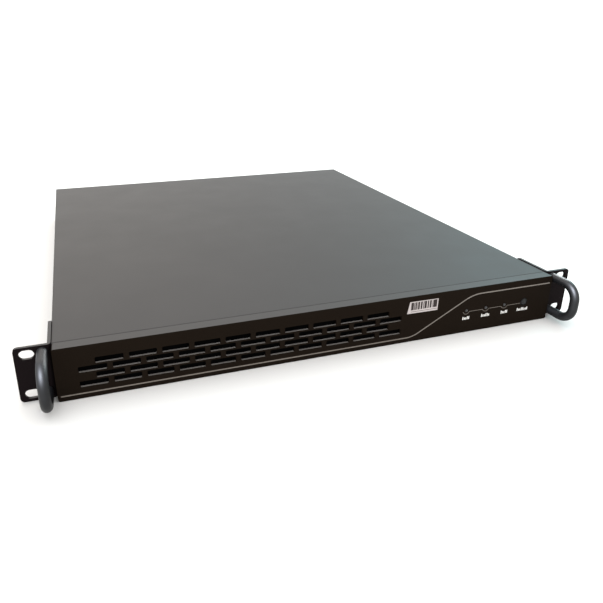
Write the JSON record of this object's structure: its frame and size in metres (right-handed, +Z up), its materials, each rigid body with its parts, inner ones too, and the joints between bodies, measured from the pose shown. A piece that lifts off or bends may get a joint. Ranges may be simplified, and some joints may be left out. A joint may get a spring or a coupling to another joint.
{
  "type": "rack-mount firewall appliance",
  "caption": "One-unit rack chassis with brick-pattern front vents, bow handles on slotted ears, indicator lamps, a push button and network sockets at the rear.",
  "frame": {"origin": "on the base plane, under the middle of the whole object's box", "axes": "+Y from the front panel to the rear panel, +Z up, +X to the right seen from the front"},
  "size_m": [0.4826, 0.5166, 0.0436],
  "materials": {
    "chassis_sheet": "zinc-plated folded steel",
    "black_paint": "matt black powder coat",
    "cover_paint": "satin black paint",
    "ear_paint": "satin black powder coat",
    "handle_paint": "satin black enamel",
    "screw_steel": "zinc-plated screws",
    "black_screw": "black oxide screws",
    "label_paper": "printed paper label",
    "filter_foam": "open-cell filter foam",
    "black_plastic": "moulded black plastic",
    "rotor_plastic": "moulded fan rotor",
    "lamp_lens": "clear lamp lens",
    "board_laminate": "green solder-masked board",
    "supply_laminate": "brown phenolic board",
    "lead_sleeve": "sleeved leads",
    "brass": "turned brass",
    "plated_shell": "nickel-plated shells",
    "aluminium": "extruded aluminium",
    "ivory_plastic": "moulded ivory plastic",
    "winding_tape": "taped copper winding",
    "capacitor_sleeve": "sleeved capacitors",
    "drive_case": "anodised drive case"
  },
  "bodies": {
    "chassis": {"base_tray": "cover_paint", "rear_panel": "cover_paint", "front_panel": "black_paint", "left_ear": "ear_paint", "right_ear": "ear_paint", "left_handle": "handle_paint", "right_handle": "handle_paint", "handle_screws": "black_screw", "ear_screws": "black_screw", "serial_label": "label_paper", "dust_filter": "filter_foam", "button_switch": "black_plastic", "status_leds": "lamp_lens", "front_board": "board_laminate", "panel_lead": "lead_sleeve", "fan_bracket": "chassis_sheet", "fan_frame_1": "black_plastic", "fan_frame_2": "black_plastic", "fan_frame_3": "black_plastic", "fan_frame_4": "black_plastic", "fan_screws": "screw_steel", "disk_bracket": "chassis_sheet", "disk_drive": "drive_case", "disk_screws": "screw_steel", "mainboard": "board_laminate", "standoffs": "brass", "board_screws": "screw_steel", "processor": "plated_shell", "heatsink": "aluminium", "memory_sockets": "black_plastic", "memory_modules": "board_laminate", "power_socket": "ivory_plastic", "power_lead": "lead_sleeve", "network_ports": "plated_shell", "console_port": "plated_shell", "usb_ports": "plated_shell", "video_port": "plated_shell", "expansion_cover": "chassis_sheet", "power_supply_case": "chassis_sheet", "power_supply_lid": "chassis_sheet", "power_supply_board": "supply_laminate", "transformer": "winding_tape", "capacitors": "capacitor_sleeve", "supply_fan_frame": "black_plastic", "mains_inlet": "black_plastic", "inlet_pins": "brass", "rocker_housing": "black_plastic"},
    "cover": {"top_cover": "cover_paint", "cover_screws": "screw_steel"},
    "button": {"power_button": "rotor_plastic"},
    "rocker": {"rocker_switch": "rotor_plastic"},
    "supply_rotor": {"supply_fan_rotor": "rotor_plastic"},
    "rotor_1": {"fan_rotor_1": "rotor_plastic"},
    "latch_1": {"memory_latch_1": "ivory_plastic"},
    "rotor_2": {"fan_rotor_2": "rotor_plastic"},
    "latch_2": {"memory_latch_2": "ivory_plastic"},
    "rotor_3": {"fan_rotor_3": "rotor_plastic"},
    "latch_3": {"memory_latch_3": "ivory_plastic"},
    "rotor_4": {"fan_rotor_4": "rotor_plastic"},
    "latch_4": {"memory_latch_4": "ivory_plastic"}
  },
  "joints": [
    {"name": "cover_slide", "type": "slide", "parent": "chassis", "child": "cover", "axis": [0, 1, 0], "range_m": [0, 0.014]},
    {"name": "button_press", "type": "slide", "parent": "chassis", "child": "button", "axis": [0, 1, 0], "range_m": [0, 0.001], "stiffness_N_per_m": 600, "springref_m": -0.001},
    {"name": "rocker_tilt", "type": "hinge", "parent": "chassis", "child": "rocker", "pos_m": [-0.168, 0.2449, 0.021], "axis": [1, 0, 0], "range_deg": [0, 18]},
    {"name": "fan_1_spin", "type": "hinge", "parent": "chassis", "child": "rotor_1", "pos_m": [-0.162, -0.1479, 0.0212], "axis": [0, 1, 0], "continuous": true},
    {"name": "fan_2_spin", "type": "hinge", "parent": "chassis", "child": "rotor_2", "pos_m": [-0.1, -0.1479, 0.0212], "axis": [0, 1, 0], "continuous": true},
    {"name": "fan_3_spin", "type": "hinge", "parent": "chassis", "child": "rotor_3", "pos_m": [-0.038, -0.1479, 0.0212], "axis": [0, 1, 0], "continuous": true},
    {"name": "fan_4_spin", "type": "hinge", "parent": "chassis", "child": "rotor_4", "pos_m": [0.024, -0.1479, 0.0212], "axis": [0, 1, 0], "continuous": true},
    {"name": "supply_fan_spin", "type": "hinge", "parent": "chassis", "child": "supply_rotor", "pos_m": [-0.137, 0.2369, 0.021], "axis": [0, 1, 0], "continuous": true},
    {"name": "latch_1_swing", "type": "hinge", "parent": "chassis", "child": "latch_1", "pos_m": [0.028, 0.0751, 0.0146], "axis": [1, 0, 0], "range_deg": [0, 35]},
    {"name": "latch_2_swing", "type": "hinge", "parent": "chassis", "child": "latch_2", "pos_m": [0.028, 0.2141, 0.0146], "axis": [-1, 0, 0], "range_deg": [0, 35]},
    {"name": "latch_3_swing", "type": "hinge", "parent": "chassis", "child": "latch_3", "pos_m": [0.04, 0.0751, 0.0146], "axis": [1, 0, 0], "range_deg": [0, 35]},
    {"name": "latch_4_swing", "type": "hinge", "parent": "chassis", "child": "latch_4", "pos_m": [0.04, 0.2141, 0.0146], "axis": [-1, 0, 0], "range_deg": [0, 35]}
  ]
}
